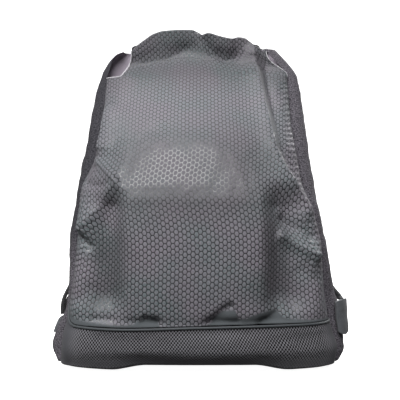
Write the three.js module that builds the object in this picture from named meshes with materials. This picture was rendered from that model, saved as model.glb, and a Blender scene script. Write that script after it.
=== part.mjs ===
// A drawstring shoe bag, stuffed so that it stands up: a coated front panel over a mesh base
// band, a woven back panel that wraps round both sides, hem tunnels along the mouth, two
// drawcords that double as shoulder cords, and a fabric tab at each lower corner for them.
// Millimetres, +Z up, +X to the right of somebody facing the front, and the front faces -Y.
// The origin is on the ground under the middle of the bag.
import * as THREE from 'three';

// Driving dimensions
const FABRIC = 2; // thickness of a panel, seam tape included
const HEM_FABRIC = 1.5; // thickness of the folded strip that closes a hem tunnel
const GAP = 0.3; // clearance between neighbouring pieces
const CORD = 5; // diameter of a drawcord
const PIPING = 2.5; // diameter of the piping in the band seam
const BASE_EDGE = 8; // height at which the sides start to tuck under the base
const BAND_SEAM = 56; // height of the seam between the mesh band and the front panel
const FOLD_LINE = 348; // height of the side seams' top, where the front lip folds open
const LIP_Y = 41; // depth of the front lip's top edge
const LIP_CLEARANCE = 1.2; // lifts the lip's foot clear of the panel that it folds from
const TAB = 5; // thickness of a cord tab
const ROUND_FRONT = 2.6; // squareness of the front's plan: 2 is an ellipse
const ROUND_BACK = 3.5; // squareness of the back's plan

// Outlines: pairs of a height, or for a top edge of an X, and the value there
const leftSide = profile([
  [0, -160], [8, -170], [22, -175], [38, -171], [57, -163], [75, -157], [150, -155], [215, -148],
  [265, -140], [320, -133], [348, -126],
]);
const rightSide = profile([
  [0, 158], [8, 167], [22, 171], [38, 169], [57, 166], [95, 159], [147, 150], [209, 140],
  [265, 134], [320, 128], [348, 125],
]);
const leftSeam = profile([
  [8, -161], [40, -156], [60, -151], [95, -146], [130, -142], [205, -139], [240, -126],
  [270, -120.5], [300, -119], [348, -117],
]);
const rightSeam = profile([
  [8, 157], [26, 156], [47, 150], [60, 146], [95, 141], [147, 138.5], [213, 121], [252, 115],
  [293, 111], [348, 111],
]);
const widestDepth = profile([[0, -5], [50, 5], [150, 12], [250, 28], [348, 46]]);
const seamDepth = profile([[8, -20], [56, -20], [150, -12], [250, 8], [348, 39]]);
const frontDepth = profile([
  [8, -50], [30, -62], [80, -67], [120, -70], [160, -71], [190, -70], [205, -67], [220, -61],
  [240, -51], [280, -28], [320, -1], [348, 17],
]);
const backDepth = profile([[8, 60], [30, 67], [60, 70], [120, 71], [348, 71]]);
const lipTop = profile([
  [-88, 381], [-75, 393], [-58, 404], [-38, 408], [-8, 409], [24, 404], [55, 401], [66, 396],
  [76, 388], [84, 384],
]);
const backTop = profile([
  [-126, 348], [-122, 362], [-115, 376], [-105, 384], [-93, 386], [-80, 384], [-60, 396],
  [0, 402], [60, 396], [80, 384], [93, 387], [103, 386], [113, 376], [122, 362], [125, 348],
]);

// Smooth curve through the given pairs that never overshoots them
function profile(pairs) {
  const last = pairs.length - 1;
  const rise = pairs.slice(1).map(([at, value], i) => (value - pairs[i][1]) / (at - pairs[i][0]));
  const slope = pairs.map((_, i) => {
    if (i === 0) return rise[0];
    if (i === last) return rise[last - 1];
    const product = rise[i - 1] * rise[i];
    return product > 0 ? (2 * product) / (rise[i - 1] + rise[i]) : 0;
  });
  return (at) => {
    const where = THREE.MathUtils.clamp(at, pairs[0][0], pairs[last][0]);
    const i = Math.min(pairs.findLastIndex(([start]) => start <= where), last - 1);
    const span = pairs[i + 1][0] - pairs[i][0];
    const t = (where - pairs[i][0]) / span;
    const s = 1 - t;
    return (1 + 2 * t) * s * s * pairs[i][1] + t * s * s * span * slope[i]
      + t * t * (3 - 2 * t) * pairs[i + 1][1] - t * t * s * span * slope[i + 1];
  };
}

// Front of the bag at height z: across runs from -1 at the left side seam to 1 at the right one
function frontPoint(across, z) {
  const middle = (leftSeam(z) + rightSeam(z)) / 2;
  const half = (rightSeam(z) - leftSeam(z)) / 2;
  const seam = seamDepth(z) - GAP;
  const bulge = (1 - Math.abs(across) ** ROUND_FRONT) ** (1 / ROUND_FRONT);
  return new THREE.Vector3(middle + half * across, seam + (frontDepth(z) - seam) * bulge, z);
}

// Back of the bag at height z: round runs 0 left seam, 1 left side, 2 back, 3 right side, 4 seam
function backPoint(round, z) {
  const left = round < 2;
  const turn = left ? round : 4 - round;
  const side = left ? leftSide(z) : rightSide(z);
  const seam = left ? leftSeam(z) - GAP : rightSeam(z) + GAP;
  const depth = widestDepth(z);
  if (turn < 1) {
    const angle = (turn * Math.PI) / 2;
    const x = seam + (side - seam) * Math.sin(angle);
    return new THREE.Vector3(x, depth + (seamDepth(z) - depth) * Math.cos(angle), z);
  }
  const middle = (leftSide(z) + rightSide(z)) / 2;
  const angle = ((turn - 1) * Math.PI) / 2;
  const x = middle + (side - middle) * Math.abs(Math.cos(angle)) ** (2 / ROUND_BACK);
  const y = depth + (backDepth(z) - depth) * Math.sin(angle) ** (2 / ROUND_BACK);
  return new THREE.Vector3(x, y, z);
}

// How far the filled base hangs clear of the ground between its two corners
function sag(x) {
  return 6 * (1 - THREE.MathUtils.smoothstep(Math.abs(x), 60, 100));
}

// A point of the base edge pulled in under the bag by about inset millimetres
function tucked(point, inset, lift) {
  const x = point.x * (1 - inset / 165);
  const y = 5 + (point.y - 5) * (1 - inset / 60);
  return new THREE.Vector3(x, y, lift + sag(x));
}

// Closed sheet of even thickness behind a grid of points on its outer face. Each row runs so
// that (along the row) x (towards the next row) points out of the bag.
function sheet(rows, thickness) {
  const rowCount = rows.length;
  const columnCount = rows[0].length;
  const at = (i, j) => rows[THREE.MathUtils.clamp(i, 0, rowCount - 1)][
    THREE.MathUtils.clamp(j, 0, columnCount - 1)];
  const outer = rows.flat();
  const inner = rows.flatMap((row, i) => row.map((point, j) => {
    const along = at(i, j + 1).clone().sub(at(i, j - 1));
    const up = at(i + 1, j).clone().sub(at(i - 1, j));
    return point.clone().addScaledVector(along.cross(up).normalize(), -thickness);
  }));
  const faces = [];
  const quad = (a, b, c, d) => faces.push(a, b, c, a, c, d);
  const front = (i, j) => i * columnCount + j;
  const behind = (i, j) => outer.length + front(i, j);
  for (let i = 0; i < rowCount - 1; i += 1) {
    for (let j = 0; j < columnCount - 1; j += 1) {
      quad(front(i, j), front(i, j + 1), front(i + 1, j + 1), front(i + 1, j));
      quad(behind(i, j), behind(i + 1, j), behind(i + 1, j + 1), behind(i, j + 1));
    }
  }
  const top = rowCount - 1;
  for (let j = 0; j < columnCount - 1; j += 1) {
    quad(front(0, j), behind(0, j), behind(0, j + 1), front(0, j + 1));
    quad(front(top, j), front(top, j + 1), behind(top, j + 1), behind(top, j));
  }
  const end = columnCount - 1;
  for (let i = 0; i < top; i += 1) {
    quad(front(i, 0), front(i + 1, 0), behind(i + 1, 0), behind(i, 0));
    quad(front(i, end), behind(i, end), behind(i + 1, end), front(i + 1, end));
  }
  return closedGeometry([...outer, ...inner], faces);
}

function closedGeometry(points, faces) {
  const geometry = new THREE.BufferGeometry().setFromPoints(points);
  geometry.setIndex(faces);
  geometry.computeVertexNormals();
  return geometry;
}

// Even fractions from 0 to 1
function fractions(count) {
  return Array.from({ length: count + 1 }, (_, i) => i / count);
}

// Steps across the front from seam to seam, closer together where it turns back to the seams
function acrossFront(count) {
  return fractions(count).map((t) => {
    const cosine = -Math.cos(Math.PI * t);
    return Math.sign(cosine) * Math.abs(cosine) ** (2 / ROUND_FRONT);
  });
}

function frontPanel() {
  const heights = [BAND_SEAM + 1.6, 75, 95, 120, 145, 170, 188, 203, 220, 240, 265, 290, 318];
  const rows = [...heights, FOLD_LINE - GAP].map(
    (z) => acrossFront(16).map((across) => frontPoint(across, z)),
  );
  return sheet(rows, FABRIC);
}

function meshBaseBand() {
  const across = acrossFront(20);
  const base = across.map((u) => frontPoint(u, BASE_EDGE));
  const under = [[13, 0.8], [5, 3]].map(([inset, lift]) => base.map((p) => tucked(p, inset, lift)));
  const sides = [20, 34, BAND_SEAM - 1.6].map((z) => across.map((u) => frontPoint(u, z)));
  return sheet([...under, base, ...sides], FABRIC);
}

// The back panel's steps run from the right seam round the back to the left seam
const AROUND_BACK = [
  4, 3.7, 3.35, 3, 2.94, 2.82, 2.66, 2.5, 2.36, 2.3, 2.17, 2,
  1.83, 1.7, 1.64, 1.5, 1.34, 1.18, 1.06, 1, 0.65, 0.3, 0,
];

function backPanel() {
  const base = AROUND_BACK.map((round) => backPoint(round, BASE_EDGE));
  const under = [[13, 0.8], [5, 3]].map(([inset, lift]) => base.map((p) => tucked(p, inset, lift)));
  const heights = [22, 40, 60, 85, 115, 150, 185, 215, 245, 275, 305, 330];
  const rows = heights.map((z) => AROUND_BACK.map((round) => backPoint(round, z)));
  const top = [0.34, 0.67, 1].map((part) => AROUND_BACK.map((round) => backLipPoint(round, part)));
  return sheet([...under, base, ...rows, ...top], FABRIC);
}

// The back panel above its last full row: part is 0 there and 1 on the top edge
function backLipPoint(round, part) {
  const edge = backPoint(round, FOLD_LINE);
  const top = round > 1 && round < 3 ? backTop(edge.x) : FOLD_LINE - GAP;
  const z = THREE.MathUtils.lerp(330, top, part);
  return backPoint(round, Math.min(z, FOLD_LINE)).setZ(z);
}

// Base: a flat-cornered disc inside the tucked-under edges of the front and back
function bottomPanel() {
  const front = acrossFront(20).slice(0, -1).map((across) => frontPoint(across, BASE_EDGE));
  const back = AROUND_BACK.slice(0, -1).map((round) => backPoint(round, BASE_EDGE));
  const rim = [...front, ...back].map((point) => tucked(point, 14.2, 0));
  const centre = new THREE.Vector3(0, 5, 0);
  const scales = [1, 0.8, 0.6, 0.35];
  const rings = scales.map((scale) => rim.map((point) => {
    const moved = point.clone().sub(centre).multiplyScalar(scale).add(centre);
    return moved.setZ(sag(moved.x));
  }));
  const under = [...rings.flat(), centre.clone().setZ(sag(0))];
  const points = [...under, ...under.map((point) => point.clone().setZ(point.z + FABRIC))];
  const size = rim.length;
  const upper = under.length;
  const hub = size * scales.length;
  const faces = [];
  for (let j = 0; j < size; j += 1) {
    const next = (j + 1) % size;
    for (let ring = 0; ring < scales.length - 1; ring += 1) {
      const [a, b, c, d] = [ring * size + j, ring * size + next, (ring + 1) * size + next,
        (ring + 1) * size + j];
      faces.push(a, c, b, a, d, c);
      faces.push(upper + a, upper + b, upper + c, upper + a, upper + c, upper + d);
    }
    const [inner, innerNext] = [hub - size + j, hub - size + next];
    faces.push(inner, hub, innerNext, upper + inner, upper + innerNext, upper + hub);
    faces.push(j, next, upper + next, j, upper + next, upper + j);
  }
  return closedGeometry(points, faces);
}

// A place on the front lip: t from -1 to 1 along it, down from its top edge, in from its face
function frontLipPoint(t, down, inward) {
  const footX = THREE.MathUtils.lerp(-96, 109, (t + 1) / 2);
  const middle = (leftSeam(FOLD_LINE) + rightSeam(FOLD_LINE)) / 2;
  const half = (rightSeam(FOLD_LINE) - leftSeam(FOLD_LINE)) / 2;
  const foot = frontPoint((footX - middle) / half, FOLD_LINE);
  const topX = THREE.MathUtils.lerp(-88, 84, (t + 1) / 2);
  const top = new THREE.Vector3(topX, LIP_Y, lipTop(topX));
  const up = top.clone().sub(foot);
  const height = up.length() - LIP_CLEARANCE;
  up.normalize();
  const into = new THREE.Vector3(0, up.z, -up.y).normalize();
  return top.addScaledVector(up, -Math.min(down, height)).addScaledVector(into, inward);
}

function frontLip() {
  const depths = [99, 34, 20, 8, 0];
  const rows = depths.map((down) => fractions(18).map((part) => frontLipPoint(2 * part - 1, down, 0)));
  return sheet(rows, FABRIC);
}

// Section of a hem tunnel's strip: down from the top edge, and in from the outer face
const HEM_SECTION = [[0.5, 4.2], [1.5, 8.6], [5, 11.2], [14, 11.6], [24, 11], [31, 7.5], [34, 4.6]];
const HEM_REACH = 60; // the strip runs this far to either side of the middle

// Seen from inside the bag the strip's outer face looks back, so its rows run right to left
function frontCasing() {
  const reach = HEM_REACH / 86;
  const rows = [...HEM_SECTION].reverse().map(([down, inward]) => fractions(16).map(
    (part) => frontLipPoint(reach * (1 - 2 * part), down, inward),
  ));
  return sheet(rows, HEM_FABRIC);
}

function backCasing() {
  const rows = [...HEM_SECTION].reverse().map(([down, inward]) => fractions(12).map((part) => {
    const x = HEM_REACH * (2 * part - 1);
    return new THREE.Vector3(x, backDepth(FOLD_LINE) - inward, backTop(x) - down - 1.5);
  }));
  return sheet(rows, HEM_FABRIC);
}

// A curve whose steps follow its control points, so bends get more of them than straight runs
class Route extends THREE.CatmullRomCurve3 {
  getPointAt(t) {
    return this.getPoint(t);
  }

  getTangentAt(t) {
    return this.getTangent(t);
  }

  getSpacedPoints(divisions) {
    return this.getPoints(divisions);
  }
}

function tube(points, diameter, sides) {
  const route = new Route(points, false, 'centripetal');
  const section = new THREE.Shape(new THREE.EllipseCurve(0, 0, diameter / 2, diameter / 2)
    .getPoints(sides).slice(0, sides));
  const steps = points.length - 1;
  return new THREE.ExtrudeGeometry(section, { steps, bevelEnabled: false, extrudePath: route });
}

function seamPiping() {
  const points = acrossFront(22).slice(1, -1).map((across) => frontPoint(across, BAND_SEAM));
  return tube(points, PIPING, 8);
}

// Bound seam allowance that stands inward along a side seam
function sideBinding(side) {
  const seam = side < 0 ? leftSeam : rightSeam;
  const depths = side < 0 ? [10.5, 2.5] : [2.5, 10.5];
  const heights = [64, 95, 130, 165, 190, 205, 222, 240, 258, 280, 310, 336];
  const rows = heights.map((z) => depths.map(
    (depth) => new THREE.Vector3(seam(z) - side * 2.2, seamDepth(z) + depth, z),
  ));
  return sheet(rows, 1.4);
}

// Bound seam allowance that stands up inside along the front or back edge of the base
function baseBinding(edge) {
  const rows = [3.8, 11].map((lift) => edge.map((point) => tucked(point, 17.5, lift)));
  return sheet(rows, 1.4);
}

function frontBaseEdge() {
  return acrossFront(16).slice(2, -2).map((across) => frontPoint(across, BASE_EDGE));
}

function backBaseEdge() {
  return AROUND_BACK.filter((round) => round > 1.1 && round < 2.9)
    .map((round) => backPoint(round, BASE_EDGE));
}

// Direction out of the back panel's surface
function backNormal(round, z) {
  const along = backPoint(round - 0.01, z).sub(backPoint(round + 0.01, z));
  const up = backPoint(round, z + 1).sub(backPoint(round, z - 1));
  return along.cross(up).normalize();
}

// A folded fabric tab lying on the bag's side. Each stop gives its place round the back, how
// far its inner face stands off the bag there, and the heights of its lower and upper edges.
function cordTab(stops) {
  const rows = fractions(3).map((part) => stops.map(([round, standOff, low, high]) => {
    const z = THREE.MathUtils.lerp(low, high, part);
    return backPoint(round, z).addScaledVector(backNormal(round, z), standOff + TAB);
  }));
  return sheet(rows, TAB);
}

function leftTab() {
  return cordTab([[1.13, 1, 34, 50.5], [1.08, 1, 32, 50.5], [1.04, 1, 32, 50.5],
    [1.012, 1, 34, 50.5]]);
}

function rightTab() {
  return cordTab([[3.9, 0.8, 40, 76], [3.65, 1.2, 38, 75], [3.35, 2, 37, 73], [3.12, 3, 38, 69],
    [2.995, 4, 41, 67]]);
}

// Each drawcord leaves its tab as one strand, climbs behind the bag, crosses in the front hem
// tunnel, turns round at its far end, crosses back in the back tunnel, and comes down again
// beside the first strand.
const LEFT_CORD = [
  [-168, 16, 53.5], [-168.5, 18, 62], [-167, 23, 73], [-162, 31, 86], [-155, 42, 102],
  [-148, 51, 120], [-140, 59, 150], [-135, 62, 190], [-119, 67, 270], [-107, 71, 330],
  [-98, 75, 357], [-91, 76, 375], [-88, 75.5, 384], [-87, 71, 389], [-87, 63, 389.5],
  [-85, 54, 389], [-78, 46, 389], [-68, 43.5, 390], [-58, 43.5, 393], [-30, 43.5, 397],
  [0, 43.5, 397], [30, 43.5, 393], [58, 43.5, 389], [69, 45, 389], [74, 50, 389],
  [74, 58, 389], [69, 63, 388.5], [58, 65, 388], [0, 65, 391], [-58, 65, 388],
  [-69, 64, 390], [-77, 67, 392], [-81, 72, 390.5], [-83, 76, 385], [-85, 76.5, 375],
  [-89, 75, 355], [-98, 72, 328], [-111, 69, 270], [-128, 65, 190], [-134, 62, 150],
  [-138, 59.5, 120], [-148, 51.5, 98], [-159, 41, 80], [-166, 31, 66], [-168, 25, 53.5],
].map((point) => new THREE.Vector3(...point));
const RIGHT_CORD = [
  [172, 10, 71.5], [170, 14.5, 76], [166, 24, 82], [162, 34, 89], [153, 49, 101],
  [144, 55.5, 120], [134, 59, 150], [126, 62, 190], [113, 67, 270], [103, 71, 330],
  [96, 75, 357], [90, 76, 375], [88, 75.5, 384], [87, 71, 388.5], [87, 63, 388.5],
  [85, 54, 386], [79, 46, 383], [70, 41, 381.5], [58, 40.3, 382], [30, 40.3, 385.5],
  [0, 40.3, 390], [-30, 40.3, 390.5], [-58, 40.3, 386], [-69, 42, 382], [-74, 48, 380],
  [-74, 57, 379.5], [-69, 63, 379], [-58, 65, 379], [0, 65, 382], [58, 65, 379],
  [67, 63.5, 381], [74, 62.5, 385], [79, 67, 389.5], [82, 74, 388], [83, 76.5, 380],
  [87, 75, 355], [94, 72, 328], [105, 69, 270], [119, 65, 190], [128, 62, 150],
  [138, 59.5, 120], [151, 52, 97], [161, 40, 84], [167, 25, 76], [171, 4, 73],
].map((point) => new THREE.Vector3(...point));

const COATED = { color: 0x6d6d70, roughness: 0.45, metalness: 0 };
const MESH = { color: 0x46464a, roughness: 0.7, metalness: 0 };
const HEATHER = { color: 0x5a5a5e, roughness: 0.9, metalness: 0 };
const TAPE = { color: 0x4a4d50, roughness: 0.8, metalness: 0 };
const CORD_BLACK = { color: 0x151517, roughness: 0.75, metalness: 0 };

function piece(name, geometry, finish) {
  const mesh = new THREE.Mesh(geometry, new THREE.MeshStandardMaterial(finish));
  mesh.name = name;
  return mesh;
}

const bag = new THREE.Group();
bag.add(
  piece('front_panel', frontPanel(), COATED),
  piece('front_lip', frontLip(), COATED),
  piece('front_casing', frontCasing(), COATED),
  piece('mesh_base_band', meshBaseBand(), MESH),
  piece('band_seam_piping', seamPiping(), TAPE),
  piece('back_panel', backPanel(), HEATHER),
  piece('back_casing', backCasing(), HEATHER),
  piece('bottom_panel', bottomPanel(), HEATHER),
  piece('left_side_binding', sideBinding(-1), TAPE),
  piece('right_side_binding', sideBinding(1), TAPE),
  piece('front_base_binding', baseBinding(frontBaseEdge()), TAPE),
  piece('back_base_binding', baseBinding(backBaseEdge()), TAPE),
  piece('left_tab', leftTab(), TAPE),
  piece('right_tab', rightTab(), TAPE),
  piece('left_drawcord', tube(LEFT_CORD, CORD, 8), CORD_BLACK),
  piece('right_drawcord', tube(RIGHT_CORD, CORD, 8), CORD_BLACK),
);

export default bag;
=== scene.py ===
import math

import bpy
import numpy as np
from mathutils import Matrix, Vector, noise


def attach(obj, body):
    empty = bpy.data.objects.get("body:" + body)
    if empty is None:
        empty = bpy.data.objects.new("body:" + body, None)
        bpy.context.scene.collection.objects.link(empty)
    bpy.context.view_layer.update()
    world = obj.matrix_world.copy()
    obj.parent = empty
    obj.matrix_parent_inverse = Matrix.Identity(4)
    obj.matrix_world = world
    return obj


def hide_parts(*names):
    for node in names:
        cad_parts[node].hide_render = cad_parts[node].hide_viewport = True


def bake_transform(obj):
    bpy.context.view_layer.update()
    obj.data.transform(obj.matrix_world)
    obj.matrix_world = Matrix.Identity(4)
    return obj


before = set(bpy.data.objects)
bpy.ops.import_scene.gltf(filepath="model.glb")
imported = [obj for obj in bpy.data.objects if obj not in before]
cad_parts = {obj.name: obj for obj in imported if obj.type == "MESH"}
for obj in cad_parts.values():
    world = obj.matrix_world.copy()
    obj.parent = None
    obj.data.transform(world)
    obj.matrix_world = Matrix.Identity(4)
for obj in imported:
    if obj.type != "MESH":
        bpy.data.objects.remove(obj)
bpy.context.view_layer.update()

MM = 0.001

# ---- the bag's outlines, in mm
CLOTH = 0.9  # thickness of a panel as sewn
BASE_EDGE = 8  # height at which the panels roll under the base
BAND_SEAM = 56  # height of the seam between mesh band and front
FOLD_LINE = 348  # height at which the lip folds open
LIP_Y = 35  # depth of the lip's top edge
LIP_ROLL = 3  # the hem rolls over this far below the lip's full height
CORD = 5
PIPING = 2.7
BACK_CORNER = 3.5  # squareness of the back's plan: 2 is an ellipse
SEAM_GAP = 0.3  # half the gap between front and back cloth along a side seam
BASE_MIDDLE = 5  # depth of the base's middle
LOWEST = 0.4  # no cloth comes nearer to the ground


def profile(*pairs):
    """Smooth curve through (place, value) pairs that never overshoots them."""
    at, value = np.array(pairs, float).T
    rise = np.diff(value) / np.diff(at)
    product = rise[:-1] * rise[1:]
    total = np.where(product > 0, rise[:-1] + rise[1:], 1)
    inner = np.where(product > 0, 2 * product / total, 0)
    slope = np.concatenate([rise[:1], inner, rise[-1:]])

    def curve(x):
        x = np.clip(np.asarray(x, float), at[0], at[-1])
        i = np.clip(np.searchsorted(at, x, "right") - 1, 0, len(at) - 2)
        span = at[i + 1] - at[i]
        t = (x - at[i]) / span
        s = 1 - t
        start = (1 + 2 * t) * s * s * value[i] + t * s * s * span * slope[i]
        end = t * t * (3 - 2 * t) * value[i + 1] - t * t * s * span * slope[i + 1]
        return start + end

    return curve


# Outlines by height: the widest place at each side, the side seams, and the depths of both
left_side = profile(
    (0, -156), (8, -166), (22, -174), (38, -171), (57, -163), (75, -157), (150, -155), (215, -148),
    (265, -140), (320, -133), (348, -126), (363, -121), (379, -109), (386, -97))
right_side = profile(
    (0, 154), (8, 164), (22, 170), (38, 169), (57, 166), (95, 159), (147, 150), (209, 140),
    (265, 134), (320, 128), (348, 124), (369, 112), (386, 98))
left_seam = profile(
    (8, -159), (40, -156), (60, -151), (95, -146), (130, -142), (205, -139), (240, -126),
    (270, -120.5), (300, -119), (348, -117), (357, -113.5), (374, -104), (386, -94))
right_seam = profile(
    (8, 154), (26, 156), (47, 150), (60, 146), (95, 141), (147, 138.5), (213, 121), (252, 115),
    (293, 111), (348, 110), (368, 97), (386, 82))
widest_depth = profile((0, -5), (50, 5), (150, 12), (250, 28), (348, 46), (386, 56))
seam_depth = profile((8, -20), (56, -20), (150, -12), (250, 8), (348, 39), (386, 47))
front_depth = profile(
    (8, -50), (30, -62), (80, -67), (120, -70), (160, -71), (190, -70), (205, -67), (222, -61),
    (242, -53), (262, -43.5), (282, -31), (320, -2), (348, 17))
back_depth = profile((8, 60), (30, 67), (60, 70), (120, 71), (348, 71))
# Heights of both top edges by place across
lip_top = profile(
    (-88, 380), (-78, 389.6), (-69, 396), (-58, 403), (-46, 406.5), (-20, 408), (-8, 407.5),
    (-3, 405.5), (2.4, 402.5), (10, 404.3), (22, 401), (35, 398), (40, 397.5), (48, 399.5), (56, 398),
    (62, 394), (71, 387.5), (84, 383))
back_top = profile(
    (-112, 385), (-93, 386), (-80, 385), (-60, 396), (0, 402), (60, 396), (80, 385), (93, 387),
    (106, 386))
# Squareness of the front's plan: the cloth is pulled flatter between the filling and the mouth
front_round = profile((8, 2.6), (150, 2.6), (205, 2.3), (240, 1.95), (300, 1.85), (348, 2.1))
# Height of the seam over the mesh band, by place across the front: it turns up at the left
band_seam = profile(
    (-1, 76), (-0.985, 66), (-0.955, 57), (-0.9, 54), (-0.65, 53.5), (0, 56.5), (0.6, 58), (1, 57))


def front_point(across, z):
    """Front surface: across runs from -1 at the left side seam to 1 at the right one."""
    middle = (left_seam(z) + right_seam(z)) / 2
    half = (right_seam(z) - left_seam(z)) / 2
    seam = seam_depth(z) - SEAM_GAP
    power = front_round(z)
    bulge = np.clip(1 - np.abs(across) ** power, 0, 1) ** (1 / power)
    y = seam + (front_depth(z) - seam) * bulge
    return np.stack(np.broadcast_arrays(middle + half * across, y, z), -1).astype(float)


def back_point(round_, z):
    """Back surface: round_ runs 0 left seam, 1 left side, 2 back, 3 right side, 4 right seam."""
    round_, z = np.broadcast_arrays(np.asarray(round_, float), np.asarray(z, float))
    left = round_ < 2
    turn = np.where(left, round_, 4 - round_)
    side = np.where(left, left_side(z), right_side(z))
    seam = np.where(left, left_seam(z) - SEAM_GAP, right_seam(z) + SEAM_GAP)
    depth = widest_depth(z)
    a = np.clip(turn, 0, 1) * math.pi / 2
    strip_x = seam + (side - seam) * np.sin(a)
    strip_y = depth + (seam_depth(z) - depth) * np.cos(a)
    b = np.clip(turn - 1, 0, 1) * math.pi / 2
    middle = (left_side(z) + right_side(z)) / 2
    wall_x = middle + (side - middle) * np.abs(np.cos(b)) ** (2 / BACK_CORNER)
    wall_y = depth + (back_depth(z) - depth) * np.sin(b) ** (2 / BACK_CORNER)
    x = np.where(turn < 1, strip_x, wall_x)
    y = np.where(turn < 1, strip_y, wall_y)
    return np.stack([x, y, z], -1)


def steps(count):
    return np.linspace(0, 1, count)


def ramp(x, low, high):
    """0 up to low and 1 from high on, with a smooth step between."""
    t = np.clip((np.asarray(x, float) - low) / (high - low), 0, 1)
    return t * t * (3 - 2 * t)


def hump(x, start, full, fading, gone):
    """1 between full and fading, and 0 before start and after gone."""
    return ramp(x, start, full) * (1 - ramp(x, fading, gone))


# How the cloth rolls under the base: how far in, and how high
UNDER = [(38, 1.4), (34, 0.9), (27, 0.9), (20, 1.8), (13, 3.2), (7, 5.0), (2.5, 6.8)]


def sag(x):
    """How far the filled base hangs clear of the ground between its two corners."""
    return 6 * (1 - ramp(np.abs(x), 60, 100))


def tucked(points, inset, lift):
    """The base edge pulled in under the bag by about inset."""
    x = points[..., 0] * (1 - inset / 165)
    y = BASE_MIDDLE + (points[..., 1] - BASE_MIDDLE) * (1 - inset / 70)
    return np.stack([x, y, lift + sag(x)], -1)


# ---- folds, in mm
def distance_to_path(x, z, path):
    """Distance in the front view to a polyline, positive on its left, and the share of its length
    at which each point lies."""
    nearest = np.full(x.shape, 1e9)
    along = np.zeros(x.shape)
    lengths = [math.dist(a, b) for a, b in zip(path, path[1:])]
    total = sum(lengths)
    done = 0
    for (ax, az), (bx, bz), length in zip(path, path[1:], lengths):
        dx, dz = bx - ax, bz - az
        t = np.clip(((x - ax) * dx + (z - az) * dz) / length ** 2, 0, 1)
        d = np.hypot(x - ax - t * dx, z - az - t * dz)
        side = np.where(dx * (z - az) - dz * (x - ax) >= 0, 1, -1)
        closer = d < np.abs(nearest)
        nearest = np.where(closer, d * side, nearest)
        along = np.where(closer, (done + t * length) / total, along)
        done += length
    return nearest, along


def fold(x, z, path, height, left, right, fade):
    """A fold along a path, proud where height is positive. left and right are its widths on the
    two sides of the path, and fade the share of its length over which each end dies away."""
    d, along = distance_to_path(x, z, path)
    width = np.where(d > 0, left, right)
    ends = ramp(along, 0, fade) * ramp(1 - along, 0, fade)
    return height * np.exp(-np.abs(d / width) ** 1.5) * ends


# Each fold's path in X and Z, and its height, left, right and fade
FRONT_FOLDS = [
    # the long crease that comes down from the right of the mouth to the side seam, and its hollow
    ([(66, 392), (68, 366), (72, 330), (76, 295), (83, 250), (92, 226), (105, 208), (121, 190),
      (134, 171)], 7, 6, 12, 0.07),
    ([(82, 378), (84, 335), (91, 290), (98, 250), (107, 228), (119, 212), (131, 196)], -5, 9, 6, 0.12),
    # the pleat in the middle of the mouth, tucked in under the cloth on its left
    ([(-9, 416), (-4, 404), (4, 392), (14, 377), (32, 369), (46, 372), (56, 382)], -8, 9, 2.5, 0.12),
    ([(44, 404), (47, 390), (53, 376)], -5, 6, 6, 0.3),
    # the hollow under the stuffed hem on the left of the mouth
    ([(-92, 366), (-68, 365), (-42, 371), (-16, 383), (-2, 396)], -4.5, 9, 14, 0.25),
    # the cloth held out towards the top of the left side seam
    ([(-110, 310), (-113, 275), (-118, 242)], 7, 16, 7, 0.2),
    # folds that the filling pulls out to the left side seam
    ([(-86, 214), (-94, 218), (-107, 228), (-124, 241)], 4, 5, 13, 0.15),
    ([(-88, 212), (-108, 209), (-126, 212), (-138, 214)], -4.5, 7, 7, 0.15),
    ([(-86, 216), (-97, 206), (-114, 186), (-128, 167), (-139, 156)], 8, 8, 13, 0.1),
    ([(-142, 158), (-133, 148), (-121, 138)], -3.5, 4, 6, 0.2),
    ([(-118, 104), (-130, 90), (-142, 76)], -2, 8, 8, 0.3),
    # and to the right side seam
    ([(88, 180), (104, 170), (122, 159), (137, 146)], -6, 9, 6, 0.2),
    ([(86, 160), (104, 148), (120, 138), (138, 127)], 6, 6, 8, 0.15),
    ([(108, 122), (122, 110), (136, 100)], -2, 9, 9, 0.3),
    # puckers over the band seam
    ([(6, 54), (14, 66), (24, 76), (38, 84)], -4, 4, 9, 0.15),
    ([(58, 54), (70, 64), (90, 74)], -3, 4, 9, 0.15),
    ([(-40, 54), (-50, 64), (-64, 68)], -3, 9, 4, 0.15),
]

# How far the cloth is drawn in where it meets the band, across the front
seam_tuck = profile(
    (-140, 2), (-124, 3), (-118, 7), (-96, 6.5), (-88, 3), (-60, 6), (-46, 7), (-38, 2), (0, 1.5),
    (8, 6), (22, 7.5), (40, 7), (47, 2.5), (60, 4), (66, 6), (100, 3.5), (140, 2))


# Middle of the dome that the filling's top pushes out
DOME_X = -8
DOME_Z = 198


def front_relief(x, z):
    """Everything that lifts or dents the front panel, in mm along its normal."""
    relief = sum(fold(x, z, *one) for one in FRONT_FOLDS)
    # the domed top of the filling, steeper above its middle than below
    above = z - DOME_Z
    dome = np.hypot((x - DOME_X) / 108, above / np.where(above > 0, 74, 150))
    relief = relief + 2.6 * (1 - ramp(dome, 0.65, 1.15))
    # the cloth drops back off both flanks of the filling
    filled = hump(z, 54, 92, 186, 216)
    left = hump(-x, 74, 100, 106, 140)
    right = hump(x, 62, 90, 98, 134)
    relief = relief - 15 * filled * (left + right)
    return relief - seam_tuck(x) * np.exp(-(np.maximum(z - 58, 0) / 8) ** 2)


def wrinkle(points, scale, seed):
    """Seeded soft noise at each point, about -1 to 1."""
    flat = points.reshape(-1, 3) * scale + seed
    return np.array([noise.fractal(Vector(p), 1.0, 2.0, 3) for p in flat]).reshape(points.shape[:-1])


def normals_of(grid):
    """Unit normals that point outward where columns run to the right, seen from outside."""
    across = np.gradient(grid, axis=1)
    up = np.gradient(grid, axis=0)
    n = np.cross(across, up)
    return n / np.maximum(np.linalg.norm(n, axis=-1, keepdims=True), 1e-9)


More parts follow.
